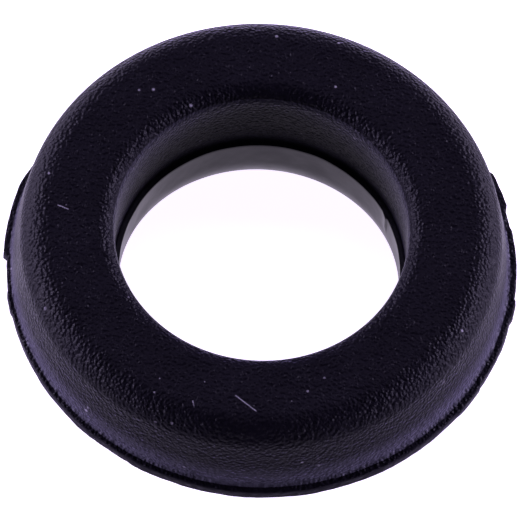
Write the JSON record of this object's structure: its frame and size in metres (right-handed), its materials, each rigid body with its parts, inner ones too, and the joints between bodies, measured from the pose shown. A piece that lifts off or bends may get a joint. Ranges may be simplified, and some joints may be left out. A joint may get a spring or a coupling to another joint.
{
  "type": "rubber buffer",
  "caption": "Moulded black rubber buffer ring: stepped through bore, conical crown with rounded edges, and a thin trimmed flange at mid height.",
  "frame": {"origin": "centre of the flat foot, on the bore's axis", "axes": "+Z along the bore's axis, from the foot to the flat crown; -X towards the widest untrimmed stretch of the flange"},
  "size_m": [0.0283, 0.0279, 0.009],
  "materials": {
    "rubber": "satin black, fine spark-eroded grain from the mould, smooth where it was trimmed"
  },
  "bodies": {
    "root": {"buffer_ring": "rubber"}
  },
  "joints": []
}
